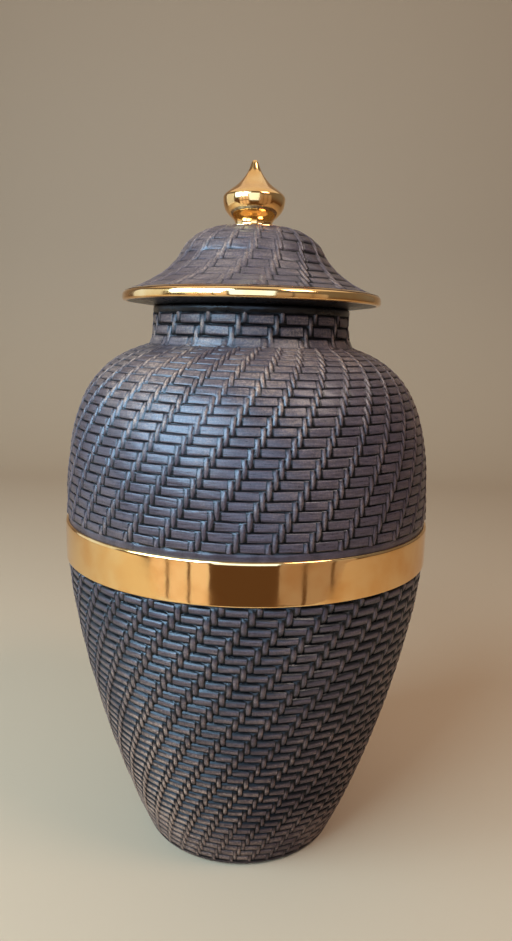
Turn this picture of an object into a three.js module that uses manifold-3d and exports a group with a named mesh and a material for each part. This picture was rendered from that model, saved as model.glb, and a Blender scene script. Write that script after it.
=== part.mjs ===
// A lidded vase of slip-cast ceramic: a tapering jar with a round shoulder and a short neck, and a
// bell-shaped lid with an onion finial. Both carry a basket weave in relief, a twill whose lines climb
// round them as spiral ribs.
// Millimetres, +Z up. The origin is the centre of the foot, on the surface that the vase stands on.

import * as THREE from "three";
import { mergeVertices } from "three/addons/utils/BufferGeometryUtils.js";
import Module from "manifold-3d";

const wasm = await Module();
wasm.setup();

// Jar: radii, and heights above the standing surface
const FOOT_RADIUS = 51;
const FOOT_RING_WIDTH = 9;
const FOOT_RECESS = 2;
const FOOT_EDGE = 1.5;
const BELLY_RADIUS = 94.5;
const BELLY_HEIGHT = 165;
const BAND_RADIUS = 95;
const BAND_WIDTH = 20;
const BAND_STEP = 0.8;
const PLAIN_STRIP = 3.5;
const NECK_RADIUS = 51.5;
const SHOULDER_HEIGHT = 264;
const COLLAR_HEIGHT = 277.5;
const LIP_RADIUS = 50.4;
const LIP_HEIGHT = 282.6;
const JAR_WALL = 5.5;
const FLOOR_HEIGHT = 7;
const NECK_BORE = 45.2;

// Jar: what the curves of the flank and the shoulder lean towards
const FLANK_LEAN = new THREE.Vector2(72, 42);
const FLANK_REACH = 42;
const SHOULDER_REACH = 56;
const SHOULDER_LEAN = new THREE.Vector2(90.2, 253.6);

// Lid: radii, and heights above the standing surface
const SEAT_GAP = 0.3;
const FLANGE_RADIUS = 44.2;
const FLANGE_BORE = 40;
const FLANGE_HEIGHT = 272;
const RIM_RADIUS = 66;
const RIM_LOW = 284.9;
const RIM_HIGH = 289.3;
const RIM_EDGE = 1;
const DOME_RADIUS = 61.2;
const DOME_FOOT = 290.8;
const DOME_BEND = new THREE.Vector2(36.4, 309.6);
const DOME_TOP_RADIUS = 16;
const DOME_TOP = 322.2;
const LID_WALL = 5.5;

// Lid: what the dome's two curves lean towards, with one slope where they meet
const FLARE_LEAN = new THREE.Vector2(47.5, 296.2);
const BEND_SLOPE = new THREE.Vector2(-2.2, 5);
const CROWN_LEAN = new THREE.Vector2(27.6, 321.5);

// Finial: radii, and heights above the standing surface
const STEM_RADIUS = 9.3;
const STEM_ROOT = 320;
const STEM_HEIGHT = 324.2;
const ONION_RADIUS = 15.7;
const ONION_HEIGHT = 336.7;
const ONION_SWELL = 328;
const ONION_SHOULDER = 340.8;
const POINT_LEAN = new THREE.Vector2(5.7, 341.9);
const POINT_RADIUS = 1.9;
const POINT_HEIGHT = 353.6;
const TIP_RADIUS = 1.2;
const TIP_HEIGHT = 355.2;
const HEIGHT = 355.7;

// Weave: a stake crosses over two rows, the rows pass six stakes to a repeat, and each row starts one
// stake further on. Under the smooth band the twill goes on unseen, so that its lines run through from
// flank to shoulder.
const STAKES_PER_REPEAT = 6;
const RIDGE_SHARE = 1 / 3;
const TWILL_START = THREE.MathUtils.degToRad(5);
const BODY_WEAVE = { repeats: 36, rowPitch: 4.3, depth: 1.2 };
const BAND_WEAVE = { ...BODY_WEAVE, depth: 0 };
const NECK_WEAVE = { repeats: 18, rowPitch: 4.5, depth: 0.9 };
const LID_WEAVE = { repeats: 18, rowPitch: 6, depth: 0.8 };

// Facets: columns round each surface and rings along each stretch of its outline
const JAR_COLUMNS = 72;
const JAR_HOLLOW_COLUMNS = 36;
const FLANK_RINGS = 12;
const SHOULDER_RINGS = 10;
const NECK_RINGS = 3;
const HOLLOW_RINGS = 7;
const LID_COLUMNS = 54;
const LID_HOLLOW_COLUMNS = 32;
const DOME_RINGS = 4;
const FINIAL_COLUMNS = 28;
const FINIAL_RINGS = 6;

// Finish
const BLACK_CERAMIC = { color: 0x46413f, roughness: 0.45, metalness: 0 };

// One ring of an outline: its radius and height, and the weave that runs over it, if any.
const ring = (r, z, weave = null) => ({ r, z, weave });

// Rings at even steps along a curve, between two shares of its length.
function along(curve, from, to, steps, weave = null) {
  const rings = [];
  for (let step = 0; step <= steps; step++) {
    const point = curve.getPointAt(from + ((to - from) * step) / steps);
    rings.push(ring(point.x, point.y, weave));
  }
  return rings;
}

// The share of a rising curve's length at which it reaches a height.
function shareAt(curve, height) {
  let low = 0;
  let high = 1;
  while (high - low > 1e-6) {
    const middle = (low + high) / 2;
    if (curve.getPointAt(middle).y < height) low = middle;
    else high = middle;
  }
  return low;
}

// Rings of a wall's inner face: a rising curve, set in by the wall's thickness.
function inset(curve, from, to, steps, wall) {
  const rings = [];
  for (let step = 0; step <= steps; step++) {
    const share = from + ((to - from) * step) / steps;
    const point = curve.getPointAt(share);
    const tangent = curve.getTangentAt(share);
    rings.push(ring(point.x - wall * tangent.y, point.y + wall * tangent.x));
  }
  return rings;
}

// How far a column of points stands off the outline: one ridge in each repeat of the weave, and hollows
// between.
function lift(weave, column, columns) {
  const onRidge = column % (columns / weave.repeats) === 0;
  return weave.depth * (onRidge ? RIDGE_SHARE : RIDGE_SHARE - 1);
}

// The angle that the twill's lines climb through, for each millimetre along the outline.
function spiralRate(weave) {
  const stakeAngle = (2 * Math.PI) / (weave.repeats * STAKES_PER_REPEAT);
  return stakeAngle / weave.rowPitch;
}

// Turns an outline about Z, from the axis at its bottom to the axis at its top. Woven rings swing round
// as they rise, so that the ridges of the weave climb as spirals. Angles start at the front, which is -Y,
// and grow towards +X.
function turn(rings, columns) {
  const outline = rings.map(({ r, z }) => new THREE.Vector2(r, z));
  const geometry = new THREE.LatheGeometry(outline, columns);
  const places = geometry.getAttribute("position");
  let swing = TWILL_START;
  rings.forEach(({ r, z, weave }, level) => {
    const before = outline[Math.max(level - 1, 0)];
    const after = outline[Math.min(level + 1, rings.length - 1)];
    const course = after.clone().sub(before).normalize();
    if (weave) swing += outline[level].distanceTo(before) * spiralRate(weave);
    for (let column = 0; column <= columns; column++) {
      const off = weave ? lift(weave, column % columns, columns) : 0;
      const angle = (2 * Math.PI * (column % columns)) / columns + swing;
      const radius = r + off * course.y;
      const height = z - off * course.x;
      const place = column * rings.length + level;
      places.setXYZ(place, radius * Math.sin(angle), -radius * Math.cos(angle), height);
    }
  });
  return geometry;
}

// A turned geometry as a solid. Triangles that shrink to a line, where the outline meets the axis, are
// dropped.
function solid(geometry) {
  geometry.deleteAttribute("normal");
  geometry.deleteAttribute("uv");
  const merged = mergeVertices(geometry);
  const triVerts = [];
  for (let first = 0; first < merged.index.count; first += 3) {
    const corners = [0, 1, 2].map((corner) => merged.index.getX(first + corner));
    if (new Set(corners).size === 3) triVerts.push(...corners);
  }
  const surface = new wasm.Mesh({
    numProp: 3,
    vertProperties: merged.getAttribute("position").array,
    triVerts: new Uint32Array(triVerts),
  });
  return new wasm.Manifold(surface);
}

// A solid as a named mesh with its finish.
function mesh(name, body, finish) {
  const { vertProperties, triVerts } = body.getMesh();
  const geometry = new THREE.BufferGeometry();
  geometry.setAttribute("position", new THREE.BufferAttribute(vertProperties, 3));
  geometry.setIndex(new THREE.BufferAttribute(triVerts, 1));
  const faceted = geometry.toNonIndexed();
  faceted.computeVertexNormals();
  const made = new THREE.Mesh(faceted, new THREE.MeshStandardMaterial({ ...finish, flatShading: true }));
  made.name = name;
  return made;
}

// The jar's flank, from the foot out to the belly, and its shoulder, from the belly in to the neck.
const belly = new THREE.Vector2(BELLY_RADIUS, BELLY_HEIGHT);
const flank = new THREE.CubicBezierCurve(
  new THREE.Vector2(FOOT_RADIUS, 0),
  FLANK_LEAN,
  new THREE.Vector2(BELLY_RADIUS, BELLY_HEIGHT - FLANK_REACH),
  belly,
);
const shoulder = new THREE.CubicBezierCurve(
  belly,
  new THREE.Vector2(BELLY_RADIUS, BELLY_HEIGHT + SHOULDER_REACH),
  SHOULDER_LEAN,
  new THREE.Vector2(NECK_RADIUS, SHOULDER_HEIGHT),
);

// The jar's outside: a foot ring round a shallow recess, woven flank, smooth band, woven shoulder and
// neck, plain collar.
function jarOutside() {
  const bandLow = BELLY_HEIGHT - BAND_WIDTH / 2;
  const bandHigh = BELLY_HEIGHT + BAND_WIDTH / 2;
  const weaveStart = shareAt(flank, FOOT_EDGE);
  const weaveEnd = shareAt(flank, bandLow - BAND_STEP);
  const weaveAgain = shareAt(shoulder, bandHigh + PLAIN_STRIP);
  const stripRadius = BELLY_RADIUS - BAND_STEP;
  const recessRadius = FOOT_RADIUS - FOOT_RING_WIDTH;
  const neckRings = [];
  for (let level = 1; level <= NECK_RINGS; level++) {
    const share = level / NECK_RINGS;
    const radius = THREE.MathUtils.lerp(NECK_RADIUS, LIP_RADIUS, share);
    const height = THREE.MathUtils.lerp(SHOULDER_HEIGHT, COLLAR_HEIGHT, share);
    neckRings.push(ring(radius, height, NECK_WEAVE));
  }
  return [
    ring(0, FOOT_RECESS),
    ring(recessRadius - FOOT_RECESS, FOOT_RECESS),
    ring(recessRadius, 0),
    ring(FOOT_RADIUS - FOOT_EDGE, 0),
    ...along(flank, weaveStart, weaveEnd, FLANK_RINGS, BODY_WEAVE),
    ring(BAND_RADIUS, bandLow, BAND_WEAVE),
    ring(BAND_RADIUS, bandHigh, BAND_WEAVE),
    ring(stripRadius, bandHigh + BAND_STEP, BAND_WEAVE),
    ...along(shoulder, weaveAgain, 1, SHOULDER_RINGS, BODY_WEAVE),
    ...neckRings,
    ring(LIP_RADIUS, COLLAR_HEIGHT + BAND_STEP),
    ring(LIP_RADIUS, LIP_HEIGHT),
    ring(0, LIP_HEIGHT),
  ];
}

// The jar's hollow: a flat floor, the inner faces of flank and shoulder, and the neck's bore, open at
// the top.
function jarHollow() {
  const start = shareAt(flank, FLOOR_HEIGHT + JAR_WALL);
  const wallRings = [
    ...inset(flank, start, 1, HOLLOW_RINGS, JAR_WALL),
    ...inset(shoulder, 0, 1, HOLLOW_RINGS, JAR_WALL).slice(1),
  ];
  return [
    ring(0, FLOOR_HEIGHT),
    ring(wallRings[0].r - JAR_WALL, FLOOR_HEIGHT),
    ...wallRings,
    ring(NECK_BORE, SHOULDER_HEIGHT - JAR_WALL / 2),
    ring(NECK_BORE, LIP_HEIGHT + JAR_WALL),
    ring(0, LIP_HEIGHT + JAR_WALL),
  ];
}

// The dome's flare, from the rim in and up to where it bends, and its crown, from there over to the flat
// top.
const flare = new THREE.CubicBezierCurve(
  new THREE.Vector2(DOME_RADIUS, DOME_FOOT),
  FLARE_LEAN,
  DOME_BEND.clone().sub(BEND_SLOPE),
  DOME_BEND,
);
const crown = new THREE.CubicBezierCurve(
  DOME_BEND,
  DOME_BEND.clone().add(BEND_SLOPE),
  CROWN_LEAN,
  new THREE.Vector2(DOME_TOP_RADIUS, DOME_TOP),
);

// The lid's outside below the finial: a flange that drops into the neck, a rim that overhangs it, and
// the woven dome.
function lidOutside() {
  const seat = LIP_HEIGHT + SEAT_GAP;
  return [
    ring(0, FLANGE_HEIGHT),
    ring(FLANGE_RADIUS, FLANGE_HEIGHT),
    ring(FLANGE_RADIUS, seat),
    ring(LIP_RADIUS, seat),
    ring(RIM_RADIUS - RIM_EDGE, RIM_LOW),
    ring(RIM_RADIUS, RIM_LOW + RIM_EDGE),
    ring(RIM_RADIUS, RIM_HIGH - RIM_EDGE),
    ring(RIM_RADIUS - RIM_EDGE, RIM_HIGH),
    ring(DOME_RADIUS, DOME_FOOT),
    ...along(flare, 0, 1, DOME_RINGS, LID_WEAVE).slice(1),
    ...along(crown, 0, 1, DOME_RINGS, LID_WEAVE).slice(1),
    ring(0, DOME_TOP),
  ];
}

// The lid's hollow: the flange's bore and the inner face of the dome, open below.
function lidHollow() {
  const inner = [
    ...inset(flare, 0, 1, DOME_RINGS, LID_WALL),
    ...inset(crown, 0, 1, DOME_RINGS, LID_WALL).slice(1),
  ];
  return [
    ring(0, FLANGE_HEIGHT - LID_WALL),
    ring(FLANGE_BORE, FLANGE_HEIGHT - LID_WALL),
    ...inner.filter(({ r }) => r < FLANGE_BORE),
    ring(0, DOME_TOP - LID_WALL),
  ];
}

// The finial: a short stem, a round bulb and a drawn-out point with a blunt tip.
function finialOutside() {
  const bulb = new THREE.CubicBezierCurve(
    new THREE.Vector2(STEM_RADIUS, STEM_HEIGHT),
    new THREE.Vector2(STEM_RADIUS, ONION_SWELL),
    new THREE.Vector2(ONION_RADIUS, ONION_SWELL),
    new THREE.Vector2(ONION_RADIUS, ONION_HEIGHT),
  );
  const point = new THREE.CubicBezierCurve(
    new THREE.Vector2(ONION_RADIUS, ONION_HEIGHT),
    new THREE.Vector2(ONION_RADIUS, ONION_SHOULDER),
    POINT_LEAN,
    new THREE.Vector2(POINT_RADIUS, POINT_HEIGHT),
  );
  return [
    ring(0, STEM_ROOT),
    ring(STEM_RADIUS, STEM_ROOT),
    ...along(bulb, 0, 1, FINIAL_RINGS),
    ...along(point, 0, 1, FINIAL_RINGS).slice(1),
    ring(TIP_RADIUS, TIP_HEIGHT),
    ring(0, HEIGHT),
  ];
}

function makeJar() {
  const outside = solid(turn(jarOutside(), JAR_COLUMNS));
  const hollow = solid(turn(jarHollow(), JAR_HOLLOW_COLUMNS));
  return mesh("jar", outside.subtract(hollow), BLACK_CERAMIC);
}

function makeLid() {
  const outside = solid(turn(lidOutside(), LID_COLUMNS));
  const hollow = solid(turn(lidHollow(), LID_HOLLOW_COLUMNS));
  const finial = solid(turn(finialOutside(), FINIAL_COLUMNS));
  return mesh("lid", outside.subtract(hollow).add(finial), BLACK_CERAMIC);
}

const vase = new THREE.Group();
vase.name = "lidded_vase";
vase.add(makeJar(), makeLid());

export default vase;
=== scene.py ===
"""Looks of a lidded vase: black ceramic with a basket weave in relief, gold band, rim and finial."""

import logging
import math
from collections.abc import Sequence
from dataclasses import dataclass
from enum import Enum
from functools import partialmethod
from typing import ClassVar

import bpy
import numpy as np
from mathutils import Matrix, Vector


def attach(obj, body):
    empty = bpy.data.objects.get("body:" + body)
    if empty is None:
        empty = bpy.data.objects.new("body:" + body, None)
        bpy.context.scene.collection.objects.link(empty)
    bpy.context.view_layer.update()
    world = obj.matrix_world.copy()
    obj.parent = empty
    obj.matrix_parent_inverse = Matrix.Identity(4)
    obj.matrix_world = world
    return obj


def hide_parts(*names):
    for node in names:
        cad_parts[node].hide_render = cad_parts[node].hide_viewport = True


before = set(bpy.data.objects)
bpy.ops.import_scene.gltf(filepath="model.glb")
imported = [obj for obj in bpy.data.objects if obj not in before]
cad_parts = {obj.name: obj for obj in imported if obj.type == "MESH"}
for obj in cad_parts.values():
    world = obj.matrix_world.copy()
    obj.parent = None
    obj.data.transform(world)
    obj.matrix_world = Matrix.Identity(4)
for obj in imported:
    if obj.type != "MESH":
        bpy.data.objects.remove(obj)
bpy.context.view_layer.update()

LOG = logging.getLogger("lidded_vase")
MM = 0.001
FULL_TURN = 2 * math.pi
BODY = "root"

Colour = tuple[float, float, float]
Point = tuple[float, float]
Step = tuple[float, ...]
Material = bpy.types.Material


class Slot(Enum):
    """The record's material slots."""

    CERAMIC = "woven_black_ceramic"
    GOLD = "gold_lustre"


class Wire:
    """An output socket of a node, whose arithmetic adds Math nodes."""

    def __init__(self, bench: "Bench", socket: bpy.types.NodeSocket) -> None:
        """Keeps the socket and the bench that its node stands on."""
        self.bench = bench
        self.socket = socket

    def other(self, name: str) -> "Wire":
        """Another output of the same node, by its name."""
        return Wire(self.bench, self.socket.node.outputs[name])

    def maths(self, operation: str, *others: "Wire | float") -> "Wire":
        """One Math node, on this value and any others."""
        return self.bench.add("ShaderNodeMath", {"operation": operation}, dict(enumerate((self, *others))))

    def flipped(self, operation: str, other: float) -> "Wire":
        """One Math node, on another value and then this one."""
        return self.bench.add("ShaderNodeMath", {"operation": operation}, {0: other, 1: self})

    __add__ = __radd__ = partialmethod(maths, "ADD")
    __mul__ = __rmul__ = partialmethod(maths, "MULTIPLY")
    __sub__, __rsub__ = partialmethod(maths, "SUBTRACT"), partialmethod(flipped, "SUBTRACT")
    __truediv__, __rtruediv__ = partialmethod(maths, "DIVIDE"), partialmethod(flipped, "DIVIDE")
    least, floor = partialmethod(maths, "MINIMUM"), partialmethod(maths, "FLOOR")
    sine, cosine = partialmethod(maths, "SINE"), partialmethod(maths, "COSINE")


class Bench:
    """A node tree that is being put together."""

    def __init__(self, tree: bpy.types.NodeTree) -> None:
        """Starts on an empty tree."""
        self.tree = tree
        self.tree.nodes.clear()

    def add(
        self,
        kind: str,
        settings: dict[str, object] | None = None,
        sockets: dict[str | int, object] | None = None,
        output: str | int = 0,
    ) -> Wire:
        """One node of any kind.

        Args:
            kind: the node's type.
            settings: properties of the node, which are set first.
            sockets: a value or a wire for each input, by its name or number.
            output: the output that is wanted.

        Returns:
            The wanted output; the others are reached from it.
        """
        node = self.tree.nodes.new(kind)
        for name, value in (settings or {}).items():
            setattr(node, name, value)
        for key, value in (sockets or {}).items():
            if isinstance(value, Wire):
                self.tree.links.new(value.socket, node.inputs[key])
            else:
                node.inputs[key].default_value = value
        return Wire(self, node.outputs[output]) if node.outputs else Wire(self, node.inputs[0])

    def parts(self, vector: Wire) -> tuple[Wire, Wire, Wire]:
        """The three parts of a vector."""
        x = self.add("ShaderNodeSeparateXYZ", {}, {0: vector})
        return x, x.other("Y"), x.other("Z")

    def vector(self, x: Wire | float, y: Wire | float, z: Wire | float) -> Wire:
        """A vector from three values."""
        return self.add("ShaderNodeCombineXYZ", {}, {0: x, 1: y, 2: z})

    def noise(self, place: Wire, scale: float, detail: float = 2.0, output: str = "Fac") -> Wire:
        """Smooth noise around one half: the value "Fac" or the three values "Color"."""
        sockets = {"Vector": place, "Scale": scale, "Detail": detail}
        return self.add("ShaderNodeTexNoise", {"noise_dimensions": "3D"}, sockets, output)

    def ramp(self, value: Wire, low: float, high: float, start: float = 0.0, end: float = 1.0) -> Wire:
        """A smooth step from start to end, as a value goes from low to high."""
        sockets = {"Value": value, "From Min": low, "From Max": high, "To Min": start, "To Max": end}
        return self.add("ShaderNodeMapRange", {"interpolation_type": "SMOOTHSTEP"}, sockets)

    def blend(self, share: Wire | float, first: Wire | Colour, second: Wire | Colour) -> Wire:
        """A mix of two colours, with a share of the second."""
        ends = [value if isinstance(value, Wire) else (*value, 1.0) for value in (first, second)]
        return self.add("ShaderNodeMix", {"data_type": "RGBA"}, {0: share, 6: ends[0], 7: ends[1]}, 2)


def fresh_object(name: str, data: bpy.types.ID) -> bpy.types.Object:
    """A new object in the scene.

    Args:
        name: its name.
        data: its mesh, curve, light or camera.

    Returns:
        The object.
    """
    thing = bpy.data.objects.new(name, data)
    bpy.context.scene.collection.objects.link(thing)
    return thing


def fresh_material(name: str) -> tuple[Material, Bench]:
    """A new material.

    Args:
        name: its name.

    Returns:
        The material and the bench of its nodes.
    """
    material = bpy.data.materials.new(name)
    material.use_nodes = True
    return material, Bench(material.node_tree)


@dataclass(frozen=True)
class WovenCeramic:
    """Satin black ceramic: painted shade makes it near black in the grooves of the weave; it is rubbed
    brown where it stands proud, and near the foot that brown is partly painted light.

    A step says where it starts and ends, as a relief in millimetres or a place in metres, and may say its
    results there. A wear has an even share and a share in patches. Streaks count bumps to a metre, round
    the vase and up it.
    """

    name: str = "woven_black_ceramic"
    clay: Colour = (0.042, 0.0265, 0.031)
    # darker and browner towards the foot
    umber: Colour = (0.033, 0.0165, 0.018)
    # painted shade: the near-black colour that grooves and recessed plain stretches take
    groove: Colour = (0.003, 0.0025, 0.0025)
    # brown of the rubbed wear, also used for painted light near the foot
    rub_and_painted_light: Colour = (0.27, 0.157, 0.1)
    roughness: float = 0.31
    fibre_roughness: float = 0.3
    rub_roughness: float = 0.25
    foot_roughness: float = 0.1
    dull_level: float = 0.1
    satin_level: float = 0.5
    foot_matt: float = 0.85
    neck_matt: float = 0.45
    fibre_bump: float = 0.6
    fibre_depth: float = 0.0002
    speck_bump: float = 0.5
    weft_streaks: Point = (120.0, 1500.0)
    stick_streaks: Point = (1300.0, 110.0)
    speck_scale: float = 1700.0
    grain_scale: float = 900.0
    patch_scale: float = 30.0
    speck_step: Step = (0.3, 0.7, 0.72, 1.22)
    fibre_step: Step = (0.35, 0.65, 0.75, 1.25)
    grain_step: Step = (0.38, 0.62, 0.35, 1.0)
    patch_step: Step = (0.42, 0.66)
    groove_shade_step: Step = (-0.55, -0.05)
    proud_step: Step = (-0.2, 0.3, 0.17, 0.77)
    shine_step: Step = (-0.6, -0.1, 0.75, 1.0)
    shoulder_step: Step = (0.215, 0.255)
    shoulder_end: Step = (0.262, 0.27, 0.0, 0.6)
    neck_step: Step = (0.264, 0.268)
    neck_end: Step = (0.28, 0.284)
    foot_step: Step = (0.145, 0.03)
    # the left side of the foot, where the painted light goes
    lit_left_step: Step = (0.015, -0.035)
    body_wear: Point = (0.15, 0.5)
    shoulder_wear: Point = (0.45, 1.1)
    neck_wear: Point = (0.8, 0.0)
    foot_wear_and_painted_bounce: Point = (0.4, 0.5)
    # painted light: lighter brown on the left of the foot, where the window light falls
    left_painted_light: Point = (2.6, 2.0)

    def material(self) -> Material:
        """Builds the material.

        Returns:
            The material, driven by the attributes of the weave.
        """
        material, bench = fresh_material(self.name)
        spot = bench.add("ShaderNodeTexCoord", output="Object")
        relief = self._mark(bench, "relief")
        _, _, z = bench.parts(spot)
        low = bench.ramp(z, *self.foot_step)
        neck = bench.ramp(z, *self.neck_step) - bench.ramp(z, *self.neck_end)
        raised = bench.ramp(relief, *self.groove_shade_step)
        # real wear on proud parts, plus painted light near the foot
        rub_and_painted_light = raised * bench.ramp(relief, *self.proud_step) * self._wear_and_painted_light(bench, spot, low, neck)
        fibre, speck = self._fibre(bench, spot), bench.noise(spot, self.speck_scale)
        # painted shade: the lower the relief, the more of the near-black groove colour; towards the foot
        # the clay turns darker and browner
        clay = bench.blend(raised, self.groove, bench.blend(low, self.clay, self.umber))
        shade = bench.ramp(speck, *self.speck_step) * bench.ramp(fibre, *self.fibre_step)
        tones = {0: bench.blend(rub_and_painted_light, clay, self.rub_and_painted_light), 1: bench.vector(shade, shade, shade)}
        rough = self.roughness + (fibre - 0.5) * self.fibre_roughness
        height = fibre + self.speck_bump * speck
        bump = {"Strength": self.fibre_bump, "Distance": self.fibre_depth, "Height": height}
        sockets = {
            "Base Color": bench.add("ShaderNodeVectorMath", {"operation": "MULTIPLY"}, tones),
            "Roughness": rough + rub_and_painted_light * self.rub_roughness + low * self.foot_roughness,
            "Normal": bench.add("ShaderNodeBump", {}, bump),
        }
        dull, satin = (
            bench.add("ShaderNodeBsdfPrincipled", {}, {**sockets, "Specular IOR Level": level})
            for level in (self.dull_level, self.satin_level)
        )
        # painted shade too: the grooves reflect less light
        shine = bench.ramp(relief, *self.shine_step) * (1.0 - low * self.foot_matt - neck * self.neck_matt)
        shader = bench.add("ShaderNodeMixShader", {}, {0: shine, 1: dull, 2: satin})
        bench.add("ShaderNodeOutputMaterial", {}, {"Surface": shader})
        return material

    def _fibre(self, bench: Bench, spot: Wire) -> Wire:
        """Streaks along the wefts, and up and down the sticks.

        Args:
            bench: the material's nodes.
            spot: where the streaks are read.

        Returns:
            The streaks, around one half.
        """
        x, y, _ = bench.parts(spot)
        stick, course = self._mark(bench, "stick"), self._mark(bench, "course")
        weft, upright = (
            bench.noise(bench.vector(x * around, y * around, course * up), scale=1.0)
            for around, up in (self.weft_streaks, self.stick_streaks)
        )
        return weft + (upright - weft) * stick

    def _wear_and_painted_light(self, bench: Bench, spot: Wire, low: Wire, neck: Wire) -> Wire:
        """How far the black is rubbed off, most on the shoulder; near the foot it is partly wear and
        partly painted warm light bounced off the floor, and on the left of the foot it is painted light
        where the window light falls.

        Args:
            bench: the material's nodes.
            spot: where the wear is read.
            low: how near the foot the spot is.
            neck: one on the neck.

        Returns:
            The wear and the painted light.
        """
        x, _, z = bench.parts(spot)
        patch = bench.ramp(bench.noise(spot, self.patch_scale, detail=4.0), *self.patch_step)
        grain = bench.ramp(bench.noise(spot, self.grain_scale, detail=3.0), *self.grain_step)
        high = bench.ramp(z, *self.shoulder_step) - bench.ramp(z, *self.shoulder_end)
        zones = (
            (1.0, self.body_wear),
            (high, self.shoulder_wear),
            (neck, self.neck_wear),
            # partly wear, partly painted warm light bounced off the floor
            (low, self.foot_wear_and_painted_bounce),
            # painted light: lighter brown on the left of the foot, where the window light falls
            (low * bench.ramp(x, *self.lit_left_step), self.left_painted_light),
        )
        return grain * sum(share * (even + patchy * patch) for share, (even, patchy) in zones)

    @staticmethod
    def _mark(bench: Bench, name: str) -> Wire:
        """One of the attributes that the weave carries."""
        settings = {"attribute_name": name, "attribute_type": "GEOMETRY"}
        return bench.add("ShaderNodeAttribute", settings, {}, "Fac")


@dataclass(frozen=True)
class GoldLustre:
    """Fired gold: a mirror with a slight orange peel and a hazier bloom in patches."""

    name: str = "gold_lustre"
    bright: Colour = (0.94, 0.62, 0.28)
    deep: Colour = (0.86, 0.48, 0.17)
    roughness: float = 0.07
    bloom_roughness: float = 0.08
    bloom_scale: float = 45.0
    bloom_step: Step = (0.4, 0.68)
    peel_scale: float = 160.0
    grit_scale: float = 900.0
    grit_share: float = 0.12
    peel_bump: float = 0.5
    peel_depth: float = 0.00005

    def material(self) -> Material:
        """Builds the material.

        Returns:
            The material.
        """
        material, bench = fresh_material(self.name)
        spot = bench.add("ShaderNodeTexCoord", output="Object")
        bloom = bench.ramp(bench.noise(spot, self.bloom_scale, detail=3.0), *self.bloom_step)
        peel = bench.noise(spot, self.peel_scale, detail=1.0)
        peel = peel + self.grit_share * bench.noise(spot, self.grit_scale, detail=1.0)
        bump = {"Strength": self.peel_bump, "Distance": self.peel_depth, "Height": peel}
        shader = bench.add(
            "ShaderNodeBsdfPrincipled",
            {},
            {
                "Base Color": bench.blend(bloom, self.bright, self.deep),
                "Roughness": self.roughness + bloom * self.bloom_roughness,
                "Metallic": 1.0,
                "Normal": bench.add("ShaderNodeBump", {}, bump),
            },
        )
        bench.add("ShaderNodeOutputMaterial", {}, {"Surface": shader})
        return material


@dataclass(frozen=True)
class Sweep:
    """A cubic curve of an outline, whose points are a radius and a height in millimetres."""

    NUDGE: ClassVar[float] = 1e-4
    FINE: ClassVar[int] = 2001

    start: Point
    lean_out: Point
    lean_in: Point
    end: Point

    def at(self, shares: np.ndarray) -> np.ndarray:
        """Points of the curve.

        Args:
            shares: the curve's parameter at each point, from nought to one.

        Returns:
            One row for each point.
        """
        t = np.asarray(shares)[:, None]
        corners = [np.array(corner) for corner in (self.start, self.lean_out, self.lean_in, self.end)]
        weights = ((1 - t) ** 3, 3 * (1 - t) ** 2 * t, 3 * (1 - t) * t**2, t**3)
        return sum(weight * corner for weight, corner in zip(weights, corners))

    def share_at(self, height: float) -> float:
        """The parameter at which the rising curve reaches a height."""
        shares = np.linspace(0, 1, self.FINE)
        return float(np.interp(height, self.at(shares)[:, 1], shares))

    def points(self, count: int, low: float = 0.0, high: float = 1.0, wall: float = 0.0) -> list[Point]:
        """Points at even steps of the parameter, on the curve or inside it.

        Args:
            count: how many points.
            low: the parameter of the first.
            high: the parameter of the last.
            wall: how far inside the curve they are.

        Returns:
            The points.
        """
        shares = np.linspace(low, high, count)
        ahead = self.at(np.minimum(shares + self.NUDGE, 1)) - self.at(np.maximum(shares - self.NUDGE, 0))
        ahead /= np.linalg.norm(ahead, axis=1)[:, None]
        inward = np.column_stack((-ahead[:, 1], ahead[:, 0]))
        return [tuple(point) for point in self.at(shares) + wall * inward]

    def between(self, count: int, *levels: float) -> list[Point]:
        """Points from one height of the rising curve to another."""
        return self.points(count, *map(self.share_at, levels))


def fillet(before: Point, corner: Point, after: Point, radius: float, steps: int) -> list[Point]:
    """A rounded corner of an outline.

    Args:
        before: the point before the corner.
        corner: the sharp corner.
        after: the point after it.
        radius: how far from the corner the rounding starts.
        steps: pieces of the rounding.

    Returns:
        The points that replace the corner.
    """
    middle = np.array(corner)
    arms = []
    for end in (before, after):
        arm = np.array(end) - middle
        arms.append(middle + arm * min(radius / np.linalg.norm(arm), 0.5))
    points = []
    for step in range(steps + 1):
        t = step / steps
        points.append(tuple((1 - t) ** 2 * arms[0] + 2 * t * (1 - t) * middle + t**2 * arms[1]))
    return points


def lace(low: Sequence[float], high: Sequence[float]) -> list[tuple[int, int, int]]:
    """Triangles between two lines of points, always across the shorter diagonal.

    Args:
        low: where the points of the first line stand along it.
        high: where the points of the second line stand along it.

    Returns:
        Corners of each triangle, counted through the first line and then the second.
    """
    faces = []
    first, second = 0, 0
    last_first, last_second = len(low) - 1, len(high) - 1
    while first < last_first or second < last_second:
        step_low = abs(low[first + 1] - high[second]) if first < last_first else math.inf
        step_high = abs(high[second + 1] - low[first]) if second < last_second else math.inf
        if step_low <= step_high:
            faces.append((first, first + 1, len(low) + second))
            first += 1
        else:
            faces.append((first, len(low) + second + 1, len(low) + second))
            second += 1
    return faces


@dataclass(frozen=True)
class Knot:
    """A point of the flat weave: stakes along, height in millimetres, and whether it is on a stick."""

    along: float
    height: float
    stick: float = 0.0


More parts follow.
